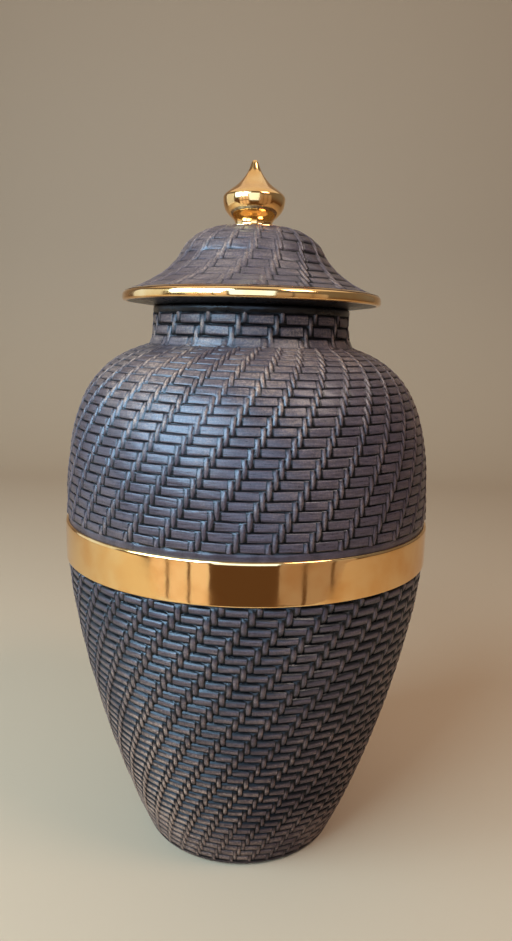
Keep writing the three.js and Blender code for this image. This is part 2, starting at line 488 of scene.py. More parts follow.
@dataclass(frozen=True)
class TwillTile:
    """One repeat of one row of the weave, laid flat: two half sticks, and a weft over the other stakes.

    The first stick shows its upper half and the second its lower half. X counts stakes, Y counts rows
    and Z is in millimetres. The next row repeats the tile one stake further on.
    """

    stick_width: float = 0.29
    stick_point: float = 2.0
    stick_lean: float = 0.12
    stick_rise: float = 0.32
    stakes: int = 6
    bevel: float = 0.085
    face: float = 0.28
    groove: float = -1.6
    pit: float = -2.2
    crossing: float = -1.0
    gaps: tuple[float, float, float] = (-0.75, -1.25, -1.4)
    stick_taper: float = 1.03
    stick_fall: float = 0.7
    weft_bevel: float = -0.42
    weft_start: float = 0.18
    weft_end: float = 0.09
    weft_tuck: float = 0.12

    def stick(self, middle: float, away: float) -> list[Knot]:
        """The section through a stick.

        Args:
            middle: where along the row its middle is.
            away: rows up from the middle of its length.

        Returns:
            Its left and right sides.
        """
        half = self.stick_width * (1 - (abs(away) / self.stick_taper) ** self.stick_point)
        crest = self.stick_rise - self.stick_fall * away**2
        axis = middle + self.stick_lean * away
        return [Knot(axis - half, crest, 1.0), Knot(axis + half, crest, 1.0)]

    def edge(self, shift: float) -> list[Knot]:
        """The line between two rows: the middle of a stick, and the groove beside it.

        Args:
            shift: stakes that the stick is from the start.

        Returns:
            The line's points, with an end that meets the next tile.
        """
        groove = [Knot(along, self.groove) for along in (1.0, self.stakes - 1.0)]
        knots = [Knot(0.0, self.crossing), *self.stick(0.5, 0.0), *groove, Knot(2.0, self.pit)]
        moved = [Knot((knot.along + shift) % self.stakes, knot.height, knot.stick) for knot in knots]
        moved.sort(key=lambda knot: knot.along)
        return [*moved, Knot(float(self.stakes), moved[0].height)]

    def line(self, level: float) -> list[Knot]:
        """The section through the row at one level.

        Args:
            level: rows from the lower edge.

        Returns:
            The section's points.
        """
        left, between, right = (Knot(float(along), gap) for along, gap in enumerate(self.gaps))
        top = 0.0 if self.face <= level <= 1 - self.face else self.weft_bevel
        weft = [Knot(2 + self.weft_start, top - self.weft_tuck), Knot(self.stakes - self.weft_end, top)]
        sticks = (self.stick(0.5, level), self.stick(1.5, level - 1))
        return [left, *sticks[0], between, *sticks[1], right, *weft, Knot(float(self.stakes), left.height)]

    def mesh(self) -> bpy.types.Mesh:
        """Builds the tile.

        Returns:
            A flat mesh with the attributes "relief" and "stick".
        """
        levels = (self.bevel, self.face, 1 - self.face, 1 - self.bevel)
        rows = [(0.0, self.edge(0)), *((level, self.line(level)) for level in levels), (1.0, self.edge(1))]
        knots = [knot for _, line in rows for knot in line]
        places = [(knot.along, level, knot.height) for level, line in rows for knot in line]
        faces = []
        start = 0
        for (_, low), (_, high) in zip(rows, rows[1:]):
            laced = lace([knot.along for knot in low], [knot.along for knot in high])
            faces += [tuple(start + corner for corner in face) for face in laced]
            start += len(low)
        mesh = bpy.data.meshes.new("twill_tile")
        mesh.from_pydata(places, [], faces)
        for name, values in (
            ("relief", [knot.height for knot in knots]),
            ("stick", [knot.stick for knot in knots]),
        ):
            mesh.attributes.new(name, "FLOAT", "POINT").data.foreach_set("value", values)
        return mesh


class WeaveTree:
    """Geometry Nodes that lay rows of a tile round a turned outline."""

    INLETS = {
        "Geometry": ("Tile",),
        "Object": ("Outline",),
        "Int": ("Repeats", "Rows", "Stakes"),
        "Float": (
            *("Row Pitch", "Start Turn", "Relief", "Waver", "Drift"),
            *("Glaze", "Glaze Turn", "Glaze Side", "Glaze Rise", "Glaze From"),
        ),
        "Material": ("Finish",),
    }
    MERGE = 2e-5
    PIT = 1.8
    PIT_DEPTH = 2.5
    LATTICE_RADIUS = 0.08
    DRIFT_SCALE = 160.0
    SWELL_LEAST, SWELL_SPAN = 0.75, 0.5
    BROAD_SCALE = 60.0
    POOL_SCALE = 22.0
    POOL_STEP: Step = (0.35, 0.65)

    def __init__(self) -> None:
        """Builds the tree once, for every woven stretch."""
        self.tree = bpy.data.node_groups.new("twill_round_outline", "GeometryNodeTree")
        face = self.tree.interface
        self.keys: dict[str, str] = {}
        for kind, names in self.INLETS.items():
            for name in names:
                socket = face.new_socket(name=name, in_out="INPUT", socket_type=f"NodeSocket{kind}")
                self.keys[name] = socket.identifier
        face.new_socket(name="Weave", in_out="OUTPUT", socket_type="NodeSocketGeometry")
        self._wire()

    def _wire(self) -> None:
        """Adds the nodes and their links."""
        bench = Bench(self.tree)
        inlet = bench.add("NodeGroupInput", output="Tile")
        repeats, stakes = inlet.other("Repeats"), inlet.other("Stakes")
        index = bench.add("GeometryNodeInputIndex")
        row = (index / repeats).floor()
        column = index - row * repeats
        count = repeats * inlet.other("Rows")
        spots = bench.vector(column * stakes + row, row, 0.0)
        points = bench.add("GeometryNodePoints", {}, {"Count": count, "Position": spots})
        tiles = bench.add("GeometryNodeInstanceOnPoints", {}, {"Points": points, "Instance": inlet})
        flat = bench.add("GeometryNodeRealizeInstances", {}, {"Geometry": tiles})

        along, up, height = bench.parts(bench.add("GeometryNodeInputPosition"))
        course = up * inlet.other("Row Pitch")
        marked = self._mark(bench, flat, "course", course)
        angle = along * (FULL_TURN / (stakes * repeats)) + inlet.other("Start Turn")
        lattice = bench.vector(
            angle.sine() * self.LATTICE_RADIUS, angle.cosine() * self.LATTICE_RADIUS, course
        )
        sway, lean, swell = bench.parts(bench.noise(lattice, self.DRIFT_SCALE, detail=1.0, output="Color"))
        drift = inlet.other("Drift")
        angle = angle + (sway - 0.5) * drift / self.LATTICE_RADIUS
        course = course + (lean - 0.5) * drift

        source = {"Object": inlet.other("Outline")}
        outline = bench.add("GeometryNodeObjectInfo", {"transform_space": "ORIGINAL"}, source, "Geometry")
        sample = {"Curves": outline, "Length": course}
        place = bench.add("GeometryNodeSampleCurve", {"mode": "LENGTH"}, sample, "Position")
        radius, _, level = bench.parts(place)
        ahead, _, rise = bench.parts(place.other("Tangent"))
        side = (angle - inlet.other("Glaze Turn")).cosine() * inlet.other("Glaze Side")
        share = up / inlet.other("Rows") - inlet.other("Glaze From")
        pool = bench.noise(lattice, self.POOL_SCALE) + side + share * inlet.other("Glaze Rise")
        glaze = bench.ramp(pool, *self.POOL_STEP) * inlet.other("Glaze")
        pit = (height + self.PIT).least(0.0) * self.PIT_DEPTH
        height = height - (height.least(0.0) - pit) * glaze
        lift = height * inlet.other("Relief")
        marked = self._mark(bench, marked, "relief", lift / MM)
        broad = bench.noise(lattice, self.BROAD_SCALE) - 0.5
        lift = lift * (self.SWELL_LEAST + self.SWELL_SPAN * swell) + broad * inlet.other("Waver")
        reach = radius + lift * rise
        wrapped = bench.vector(reach * angle.sine(), reach * angle.cosine() * -1.0, level - lift * ahead)
        bent = bench.add("GeometryNodeSetPosition", {}, {"Geometry": marked, "Position": wrapped})
        merged = bench.add("GeometryNodeMergeByDistance", {}, {"Geometry": bent, "Distance": self.MERGE})
        whole = bench.add("GeometryNodeRealizeInstances", {}, {"Geometry": merged})
        dressed = bench.add(
            "GeometryNodeSetMaterial", {}, {"Geometry": whole, "Material": inlet.other("Finish")}
        )
        bench.add("NodeGroupOutput", {}, {"Weave": dressed})

    @staticmethod
    def _mark(bench: Bench, geometry: Wire, name: str, value: Wire) -> Wire:
        """Geometry whose points carry one more named value."""
        sockets = {"Geometry": geometry, "Name": name, "Value": value}
        return bench.add("GeometryNodeStoreNamedAttribute", {"domain": "POINT"}, sockets)

    def lay(self, tile: TwillTile, outline: Sequence[Point], values: dict[str, object]) -> bpy.types.Mesh:
        """Lays the weave along one outline.

        Args:
            tile: the tile that is repeated.
            outline: the outline's points in millimetres, from the first row to the last.
            values: the tree's inputs, by name.

        Returns:
            A plain mesh with the attributes "relief", "stick" and "course".
        """
        curve = bpy.data.curves.new("outline", "CURVE")
        curve.dimensions = "3D"
        spline = curve.splines.new("POLY")
        spline.points.add(len(outline) - 1)
        for point, (radius, height) in zip(spline.points, outline):
            point.co = (radius * MM, 0.0, height * MM, 1.0)
        path, sheet = fresh_object("outline", curve), fresh_object("weave", tile.mesh())
        modifier = sheet.modifiers.new("twill", "NODES")
        modifier.node_group = self.tree
        for name, value in {"Outline": path, "Stakes": tile.stakes, **values}.items():
            modifier[self.keys[name]] = value
        evaluated = sheet.evaluated_get(bpy.context.evaluated_depsgraph_get())
        mesh = bpy.data.meshes.new_from_object(evaluated)
        for thing in (path, sheet):
            bpy.data.objects.remove(thing)
        return mesh


@dataclass
class Ring:
    """Points round the axis in the order of their angles."""

    corners: np.ndarray
    angles: np.ndarray


class Shell:
    """A closed surface, put together in stretches along an outline that keeps the solid on its left."""

    MARKS = ("relief", "stick", "course")
    EDGE = 1e-6

    def __init__(self) -> None:
        """Starts with nothing."""
        self.places: list[np.ndarray] = []
        self.marks: dict[str, list[np.ndarray]] = {mark: [] for mark in self.MARKS}
        self.faces: list[tuple[int, ...]] = []
        self.rings: list[Ring] = []
        self.count = 0

    def _keep(self, places: np.ndarray, marks: dict[str, np.ndarray]) -> int:
        """Keeps some points.

        Args:
            places: one row for each point.
            marks: values of the attributes; the missing ones are nought.

        Returns:
            The number of the first point.
        """
        start = self.count
        self.places.append(places)
        for mark in self.MARKS:
            self.marks[mark].append(marks.get(mark, np.zeros(len(places))))
        self.count += len(places)
        return start

    def turned(self, outline: Sequence[Point], columns: int, relief: float = 0.0) -> None:
        """Adds a plain turned stretch.

        Args:
            outline: its points in millimetres.
            columns: points round each ring.
            relief: the value of the attribute "relief" on it.
        """
        angles = np.arange(columns) * FULL_TURN / columns
        rings = []
        for radius, height in outline:
            level = np.full(columns, height)
            places = np.column_stack((radius * np.sin(angles), -radius * np.cos(angles), level)) * MM
            start = self._keep(places, {"relief": np.full(columns, relief)})
            rings.append(np.arange(columns) + start)
        for low, high in zip(rings, rings[1:]):
            corners = zip(low, np.roll(low, -1), np.roll(high, -1), high)
            self.faces += [tuple(map(int, face)) for face in corners]
        self._extend(Ring(rings[0], angles), Ring(rings[-1], angles))

    def woven(self, mesh: bpy.types.Mesh) -> None:
        """Adds a woven stretch.

        Args:
            mesh: the laid weave, which is used up.
        """
        places = np.empty(len(mesh.vertices) * 3)
        mesh.vertices.foreach_get("co", places)
        places = places.reshape(-1, 3)
        marks = {}
        for mark in self.MARKS:
            marks[mark] = np.empty(len(places))
            mesh.attributes[mark].data.foreach_get("value", marks[mark])
        start = self._keep(places, marks)
        self.faces += [tuple(start + corner for corner in face.vertices) for face in mesh.polygons]
        bpy.data.meshes.remove(mesh)
        course = marks["course"]
        edges = (course < course.min() + self.EDGE, course > course.max() - self.EDGE)
        rings = []
        for edge in edges:
            chosen = np.flatnonzero(edge)
            angles = np.arctan2(places[chosen, 0], -places[chosen, 1]) % FULL_TURN
            order = np.argsort(angles)
            rings.append(Ring(chosen[order] + start, angles[order]))
        self._extend(*rings)

    def _extend(self, first: Ring, last: Ring) -> None:
        """Joins a stretch to the one before.

        Args:
            first: the stretch's first ring.
            last: its last ring.
        """
        if self.rings:
            self._join(self.rings[-1], first)
        self.rings += [first, last]

    def _join(self, low: Ring, high: Ring) -> None:
        """Joins two rings.

        Args:
            low: the last ring of the stretch before.
            high: the first ring of the stretch after.
        """
        lines = [np.append(ring.angles, ring.angles[0] + FULL_TURN) for ring in (low, high)]
        corners = [*low.corners, low.corners[0], *high.corners, high.corners[0]]
        self.faces += [tuple(int(corners[corner]) for corner in face) for face in lace(*lines)]

    def close(self) -> None:
        """Joins the last ring to the first."""
        self._join(self.rings[-1], self.rings[0])

    def cap(self, start: float, end: float) -> None:
        """Closes both ends on the axis.

        Args:
            start: how high on the axis the first end is, in millimetres.
            end: how high the last end is.
        """
        for ring, height, order in ((self.rings[0], start, -1), (self.rings[-1], end, 1)):
            centre = self._keep(np.array([[0.0, 0.0, height * MM]]), {})
            for before, after in zip(ring.corners, np.roll(ring.corners, -1)):
                self.faces.append((int(before), int(after), centre)[::order])

    def piece(self, name: str, node: str, slot: Slot, finish: Material) -> None:
        """Makes the surface one object, and tells the frame of it.

        Args:
            name: the piece's name.
            node: the node that it stands for, alone or with other pieces.
            slot: the record's slot of its finish; not used.
            finish: its material.
        """
        mesh = bpy.data.meshes.new(name)
        mesh.from_pydata(np.concatenate(self.places), [], self.faces)
        marks = {mark: np.concatenate(values) for mark, values in self.marks.items()}
        for mark, values in marks.items():
            mesh.attributes.new(mark, "FLOAT", "POINT").data.foreach_set("value", values)
        mesh.materials.append(finish)
        mesh.polygons.foreach_set("use_smooth", [True] * len(self.faces))
        mesh.update()
        self._shade(mesh, marks["stick"])
        piece = fresh_object(name, mesh)
        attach(piece, BODY)
        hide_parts(node)
        triangles = sum(len(face.vertices) - 2 for face in mesh.polygons)
        LOG.info("%s: %d triangles", name, triangles)

    @staticmethod
    def _shade(mesh: bpy.types.Mesh, rounded: np.ndarray) -> None:
        """Sets the normals: flat strips follow their larger faces, and sticks stay round.

        Args:
            mesh: the finished mesh.
            rounded: for each point, one where the plain smooth normal stays.
        """
        corners = np.empty(len(mesh.loops), dtype=np.int64)
        mesh.loops.foreach_get("vertex_index", corners)
        count = len(mesh.polygons)
        sizes, areas, normals = np.empty(count, dtype=np.int64), np.empty(count), np.empty(count * 3)
        mesh.polygons.foreach_get("loop_total", sizes)
        mesh.polygons.foreach_get("area", areas)
        mesh.polygons.foreach_get("normal", normals)
        weighted = np.repeat(normals.reshape(-1, 3) * areas[:, None], sizes, axis=0)
        heavy = np.zeros((len(mesh.vertices), 3))
        np.add.at(heavy, corners, weighted)
        heavy /= np.linalg.norm(heavy, axis=1)[:, None]
        soft = np.empty(len(mesh.vertices) * 3)
        mesh.vertex_normals.foreach_get("vector", soft)
        mixed = heavy + (soft.reshape(-1, 3) - heavy) * rounded[:, None]
        mesh.normals_split_custom_set_from_vertices(mixed.tolist())


def gild_ring(name: str, node: str, outline: Sequence[Point], columns: int, gold: Material) -> None:
    """Builds a closed gold ring.

    Args:
        name: the piece's name.
        node: the node that it stands for with other pieces.
        outline: its section in millimetres.
        columns: points round it.
        gold: its material.
    """
    shell = Shell()
    shell.turned(outline, columns)
    shell.close()
    shell.piece(name, node, Slot.GOLD, gold)


@dataclass(frozen=True)
class Glaze:
    """How glaze fills a woven stretch: how much, towards which side and from which share of its rows."""

    amount: float = 0.0
    turn: float = 0.0
    side: float = 0.0
    rise: float = 0.0
    start: float = 0.5


@dataclass(frozen=True)
class Stretch:
    """A woven stretch of an outline: its rows, its repeats and how the relief lies on it."""

    rows: int
    repeats: int
    start_turn: float
    relief: float = 1.0
    glaze: Glaze = Glaze()
    waver: float = 0.5
    drift: float = 1.1
    tile: TwillTile = TwillTile()

    def lay(self, tree: WeaveTree, outline: Sequence[Point], finish: Material) -> bpy.types.Mesh:
        """Lays the weave of this stretch.

        Args:
            tree: the nodes that lay it.
            outline: its outline in millimetres.
            finish: its material.

        Returns:
            The laid weave.
        """
        legs = np.diff(np.array(outline), axis=0)
        length = float(np.linalg.norm(legs, axis=1).sum())
        return tree.lay(
            self.tile,
            outline,
            {
                "Repeats": self.repeats,
                "Rows": self.rows,
                "Row Pitch": length / self.rows * MM,
                "Start Turn": math.radians(self.start_turn),
                "Relief": self.relief * MM,
                "Glaze": self.glaze.amount,
                "Glaze Turn": math.radians(self.glaze.turn),
                "Glaze Side": self.glaze.side,
                "Glaze Rise": self.glaze.rise,
                "Glaze From": self.glaze.start,
                "Waver": self.waver * MM,
                "Drift": self.drift * MM,
                "Finish": finish,
            },
        )


@dataclass
class Jar:
    """The jar: foot ring, woven flank, gold band, plain strip, woven shoulder and neck, collar, hollow.

    Sizes are in millimetres, and a plain stretch has one relief all over, which sets how much of the
    near-black
    groove colour it takes: painted shadow of the lid's rim on the collar and painted shade in the hollow;
    the foot ring and the plain strip are a little darker.
    """

    foot_radius: float = 51.0
    foot_ring: float = 9.0
    foot_recess: float = 2.0
    foot_edge: float = 1.5
    foot_round: float = 0.8
    foot_plain: float = 3.4
    foot_relief: float = -0.3
    belly_radius: float = 94.5
    band_radius: float = 95.0
    band_low: float = 155.0
    band_high: float = 175.0
    band_round: float = 0.7
    band_edge: float = 1.5
    band_depth: float = 2.0
    seam: float = 1.0
    bed_low: float = 154.6
    bed_high: float = 175.2
    strip_low: float = 176.2
    strip_high: float = 178.5
    strip_step: float = 0.3
    strip_swell: float = 0.1
    strip_relief: float = -0.15
    weave_gap: float = 0.6
    shoulder_height: float = 264.0
    neck_seam: float = 0.1
    collar_gap: float = 0.4
    # painted shadow of the lid's rim: the collar takes the near-black groove colour
    collar_shadow_relief: float = -0.48
    lip_radius: float = 50.4
    lip_height: float = 282.6
    lip_edge: float = 1.2
    neck_bore: float = 45.2
    bore_depth: float = 4.0
    wall: float = 5.5
    floor_height: float = 7.0
    floor_middle: float = 10.0
    # painted shade in the hollow: a low relief that takes the near-black groove colour
    inside_shade_relief: float = -0.4
    columns: int = 108
    band_columns: int = 216
    band_points: int = 9
    hollow_columns: int = 48
    hollow_points: tuple[int, int] = (11, 12)
    path_points: int = 240
    neck_points: int = 60
    flank: Sweep = Sweep((51.0, 0.0), (72.0, 42.0), (94.5, 123.0), (94.5, 165.0))
    shoulder: Sweep = Sweep((94.5, 165.0), (94.5, 221.0), (90.2, 253.6), (51.5, 264.0))
    neck: Sweep = Sweep((53.6, 263.6), (51.4, 264.4), (51.0, 268.0), (50.4, 279.0))
    flank_weave: Stretch = Stretch(
        rows=34,
        repeats=36,
        start_turn=5.0,
        relief=1.35,
        glaze=Glaze(0.6, rise=-2.5, start=0.14),
        tile=TwillTile(
            stick_width=0.32,
            stick_point=3.0,
            stick_lean=0.06,
            stick_rise=0.02,
            stakes=5,
            face=0.35,
            gaps=(-0.75, -1.1, -1.1),
            weft_start=0.05,
            weft_end=0.03,
        ),
    )
    shoulder_weave: Stretch = Stretch(
        rows=23,
        repeats=36,
        start_turn=4.9,
        relief=0.85,
        glaze=Glaze(0.65, turn=-40.0, side=0.15, rise=1.0, start=0.85),
        tile=TwillTile(
            stick_width=0.265, bevel=0.065, face=0.2, weft_bevel=-0.32, weft_start=0.24, weft_end=0.12
        ),
    )
    neck_weave: Stretch = Stretch(
        rows=3,
        repeats=18,
        start_turn=5.0,
        relief=1.15,
        glaze=Glaze(0.6, turn=-40.0, side=0.25, rise=-2.2, start=0.22),
        tile=TwillTile(
            stick_width=0.24,
            stick_point=3.0,
            stick_lean=0.08,
            stick_rise=0.1,
            face=0.24,
            gaps=(-0.7, -0.9, -0.9),
            weft_bevel=-0.3,
        ),
    )

    def build(self, tree: WeaveTree, ceramic: Material, gold: Material) -> None:
        """Builds the jar from its foot to its lip and down its inside, and the band that sits in its bed.

        Args:
            tree: the nodes that lay the weave.
            ceramic: the jar's material.
            gold: the band's material.
        """
        shell = Shell()
        shell.turned(self._foot(), self.columns, self.foot_relief)
        path = self.flank.between(self.path_points, self.foot_plain, self.band_low - self.seam)
        shell.woven(self.flank_weave.lay(tree, path, ceramic))
        shell.turned(self._strip(), self.columns, self.strip_relief)
        neck_low = self.neck.start[1] - self.neck_seam
        path = self.shoulder.between(self.path_points, self.strip_high, neck_low)
        shell.woven(self.shoulder_weave.lay(tree, path, ceramic))
        shell.woven(self.neck_weave.lay(tree, self.neck.points(self.neck_points), ceramic))
        shell.turned(self._collar(), self.columns, self.collar_shadow_relief)
        shell.turned(self._hollow(), self.hollow_columns, self.inside_shade_relief)
        shell.cap(self.foot_recess, self.floor_height)
        shell.piece("jar_body", "jar", Slot.CERAMIC, ceramic)
        gild_ring("belly_band", "jar", self._band(), self.band_columns, gold)

    def _foot(self) -> list[Point]:
        """The recess and the foot ring.

        Returns:
            Their outline, from the middle out.
        """
        recess = (self.foot_radius - self.foot_ring - self.foot_recess, self.foot_recess)
        inner = (self.foot_radius - self.foot_ring, 0.0)
        outer = (self.foot_radius - self.foot_edge, 0.0)
        return [
            (inner[0] / 2, self.foot_recess),
            recess,
            *fillet(recess, inner, outer, self.foot_round, steps=2),
            *fillet(inner, outer, (self.foot_radius, self.foot_edge), self.foot_round, steps=2),
            *self.flank.between(2, self.foot_edge, self.foot_plain - self.weave_gap),
        ]

    def _strip(self) -> list[Point]:
        """The bed under the gold band, and the plain strip above it.

        Returns:
            Their outline, upwards.
        """
        bed = self.belly_radius - self.seam
        strip = bed + self.strip_step
        return [
            (bed, self.bed_low),
            (bed, self.bed_high),
            (strip, self.strip_low),
            (strip + self.strip_swell, self.strip_high - self.weave_gap),
        ]

    def _band(self) -> list[Point]:
        """The gold band.

        Returns:
            Its section, from the foot of its back round its face.
        """
        back = self.band_radius - self.band_depth
        low, high = (self.band_radius, self.band_low), (self.band_radius, self.band_high)
        bed = [(back, self.band_low), (back, self.band_high)]
        face = np.linspace(low, high, self.band_points)[1:-1]
        return [
            bed[0],
            *fillet(bed[0], low, high, self.band_round, steps=3),
            *(tuple(point) for point in face),
            *fillet(low, high, bed[1], self.band_edge, steps=5),
            bed[1],
        ]

    def _collar(self) -> list[Point]:
        """The plain collar.

        Returns:
            Its outline, over the lip and into the bore.
        """
        foot = (self.lip_radius, self.neck.end[1] + self.collar_gap)
        outer = (self.lip_radius, self.lip_height)
        inner = (self.neck_bore, self.lip_height)
        bore = (self.neck_bore, self.lip_height - self.bore_depth)
        return [
            foot,
            *fillet(foot, outer, inner, self.lip_edge, steps=3),
            *fillet(outer, inner, bore, self.lip_edge, steps=3),
        ]

    def _hollow(self) -> list[Point]:
        """The hollow of the jar.

        Returns:
            Its outline, from the bore down to the floor.
        """
        low = self.flank.share_at(self.floor_height + self.wall)
        below, above = self.hollow_points
        rising = self.flank.points(below, low, wall=self.wall)
        rising += self.shoulder.points(above, wall=self.wall)[1:]
        rising.append((self.neck_bore, self.shoulder_height - self.wall / 2))
        corner = (rising[0][0] - self.wall, self.floor_height)
        return [*reversed(rising), corner, (self.floor_middle, self.floor_height)]


@dataclass
class Lid:
    """The lid: flange, overhanging gold rim, woven bell-shaped dome and gold onion finial.

    Sizes are in millimetres, and a plain stretch has one relief all over, which sets how much of the
    near-black
    groove colour it takes: painted shade under the rim and in the hollow, and near black on the flat top
    under the finial.
    """

    flange_radius: float = 44.2
    flange_bore: float = 40.0
    flange_height: float = 272.0
    flange_round: float = 0.8
    bore_edge: float = 1.0
    bore_gap: float = 4.0
    seat_height: float = 282.9
    seat_radius: float = 50.4
    seat_round: float = 0.6
    rim_radius: float = 66.0
    rim_low: float = 284.9
    rim_high: float = 289.3
    rim_edge: float = 2.4
    rim_under: float = 1.2
    rim_back: float = 2.4
    rim_lap: float = 0.2
    rim_bed: float = 1.0
    bed_back: float = 2.0
    bed_gap: float = 0.15
    bed_taper: float = 0.2
    gold_tuck: float = 0.4
    gold_low: float = 1.5
    gold_high: float = 1.2
    gilding: float = 0.15
    gilt_share: float = 0.95
    leaf_depth: float = 1.0
    top_gap: float = 0.8
    top_relief: float = -0.6
    dome_top: float = 322.2
    wall: float = 5.5
    # painted shade in the hollow: a low relief that takes the near-black groove colour
    inside_shade_relief: float = -0.4
    # painted shade under the rim: the flange and the rim's underside take the near-black groove colour
    under_shadow_relief: float = -0.48
    stem_root: float = 320.8
    tip: Point = (1.2, 355.2)
    height: float = 355.7
    columns: int = 216
    hollow_columns: int = 72
    hollow_points: tuple[int, int] = (10, 12)
    finial_columns: int = 96
    finial_points: tuple[int, ...] = (4, 6, 17, 25)
    path_points: int = 120
    slope_points: int = 8
    flare: Sweep = Sweep((61.2, 290.8), (47.5, 296.2), (38.6, 304.6), (36.4, 309.6))
    crown: Sweep = Sweep((36.4, 309.6), (34.2, 314.6), (27.6, 321.5), (16.0, 322.2))
    foot: Sweep = Sweep((13.0, 322.6), (11.0, 322.7), (9.4, 323.0), (9.3, 323.9))
    bulb: Sweep = Sweep((9.3, 324.2), (9.3, 328.0), (15.7, 328.0), (15.7, 336.7))
    point: Sweep = Sweep((15.7, 336.7), (15.7, 340.8), (5.7, 341.9), (1.9, 353.6))
    dome_weave: Stretch = Stretch(
        rows=9,
        repeats=18,
        start_turn=0.0,
        relief=0.65,
        glaze=Glaze(0.95, turn=-72.0, side=0.4, rise=-0.1),
        tile=TwillTile(
            stick_width=0.2, stick_point=3.0, stick_lean=0.1, stick_rise=0.55, gaps=(-1.9, -1.25, -2.1)
        ),
    )

    def build(self, tree: WeaveTree, ceramic: Material, gold: Material) -> None:
        """Builds the lid from the top of its hollow, out to its rim and up to its flat top, and its gold.

        Args:
            tree: the nodes that lay the weave.
            ceramic: the lid's material.
            gold: the material of the rim and the finial.
        """
        shell = Shell()
        shell.turned(self._hollow(), self.hollow_columns, self.inside_shade_relief)
        shell.turned(self._under(), self.columns, self.under_shadow_relief)
        path = self.flare.points(self.path_points)
        path += self.crown.points(self.path_points, 0.0, self.gilt_share)[1:]
        shell.woven(self.dome_weave.lay(tree, path, ceramic))
        edge, height = path[-1]
        shell.turned([(edge - self.top_gap, height)], self.finial_columns, self.top_relief)
        shell.cap(self.dome_top - self.wall, self.dome_top)
        shell.piece("lid_dome", "lid", Slot.CERAMIC, ceramic)
        gild_ring("lid_rim", "lid", self._rim(), self.columns, gold)
        finial = Shell()
        finial.turned(self._finial(), self.finial_columns)
        finial.cap(self.stem_root, self.height)
        finial.piece("finial", "lid", Slot.GOLD, gold)

    def _hollow(self) -> list[Point]:
        """The hollow of the lid.

        Returns:
            Its outline, from its top down to the flange's bore.
        """
        below, above = self.hollow_points
        rising = self.flare.points(below, wall=self.wall) + self.crown.points(above, wall=self.wall)[1:]
        inner = [point for point in rising if point[0] < self.flange_bore]
        levels = (inner[0][1] - self.bore_gap, self.flange_height + self.bore_edge)
        return [*reversed(inner), *((self.flange_bore, level) for level in levels)]

    def _under(self) -> list[Point]:
        """The flange, the rim's underside and the bed of the gold.

        Returns:
            Their outline, from the bore out and up to the dome.
        """
        start = (self.flange_bore, self.flange_height + 2 * self.bore_edge)
        bore = (self.flange_bore, self.flange_height)
        foot = (self.flange_radius, self.flange_height)
        seat = (self.flange_radius, self.seat_height)
        edge = (self.seat_radius, self.seat_height)
        bed = self.rim_radius - self.rim_bed
        return [
            *fillet(start, bore, foot, self.flange_round, steps=3),
            *fillet(bore, foot, seat, self.flange_round, steps=3),
            *fillet(foot, seat, edge, self.seat_round, steps=2),
            edge,
            (self.rim_radius - self.bed_back, self.rim_low - self.bed_gap),
            (bed, self.rim_low + self.rim_bed),
            (bed - self.bed_taper, self.rim_high - self.rim_bed),
            (self.flare.start[0], self.flare.start[1] - self.gilding),
        ]

    def _rim(self) -> list[Point]:
        """The gold rim.

        Returns:
            Its section, from its underside over its edge to the dome, and back inside the ceramic.
        """
        inner = (self.rim_radius - self.rim_back, self.rim_low - self.rim_lap)
        low = (self.rim_radius, self.rim_low)
        high = (self.rim_radius, self.rim_high)
        dome = self.flare.start
        slope = np.linspace(high, dome, self.slope_points)[2:]
        return [
            inner,
            *fillet(inner, low, high, self.rim_under, steps=5),
            *fillet(low, high, dome, self.rim_edge, steps=6),
            *(tuple(point) for point in slope),
            (dome[0] - self.gold_tuck, dome[1] - self.gold_high),
            (inner[0] - self.gold_tuck, inner[1] + self.gold_low),
        ]

    def _finial(self) -> list[Point]:
        """The onion finial on its short stem, and the gold leaf round it.

        Returns:
            Their outline, from the leaf's edge to the tip.
        """
        edge, height = self.crown.points(1, self.gilt_share)[0]
        leaf, foot, bulb, point = self.finial_points
        return [
            (edge, height - self.leaf_depth),
            *self.crown.points(leaf, self.gilt_share, wall=-self.gilding),
            *self.foot.points(foot),
            *self.bulb.points(bulb),
            *self.point.points(point)[1:],
            self.tip,
        ]


@dataclass(frozen=True)
class SoftBox:
    """A rectangular soft light that looks at the vase: degrees round and up, metres, watts."""

    name: str
    turn: float
    rise: float
    distance: float
    size: Point
    power: float
    colour: Colour
    panes: tuple[int, int] = (1, 1)
    bar: float = 0.14

    def place(self, aim: Vector) -> None:
        """Adds the light, pane by pane.

        Args:
            aim: what it looks at.
        """
        across, down = self.panes
        width, height = self.size[0] / across, self.size[1] / down
        pane = 1 - self.bar if across * down > 1 else 1.0
        lamp = bpy.data.lights.new(self.name, "AREA")
        lamp.shape = "RECTANGLE"
        lamp.size, lamp.size_y = width * pane, height * pane
        lamp.energy = self.power / (across * down)
        lamp.color = self.colour
        turn, rise = math.radians(self.turn), math.radians(self.rise)
        away = Vector((math.sin(turn) * math.cos(rise), -math.cos(turn) * math.cos(rise), math.sin(rise)))
        facing = away.to_track_quat("Z", "Y")
        for column in range(across):
            for row in range(down):
                shift = Vector(((column - (across - 1) / 2) * width, (row - (down - 1) / 2) * height, 0.0))
                light = fresh_object(f"{self.name}_{column}_{row}", lamp)
                light.location = aim + away * self.distance + facing @ shift
                light.rotation_euler = facing.to_euler()


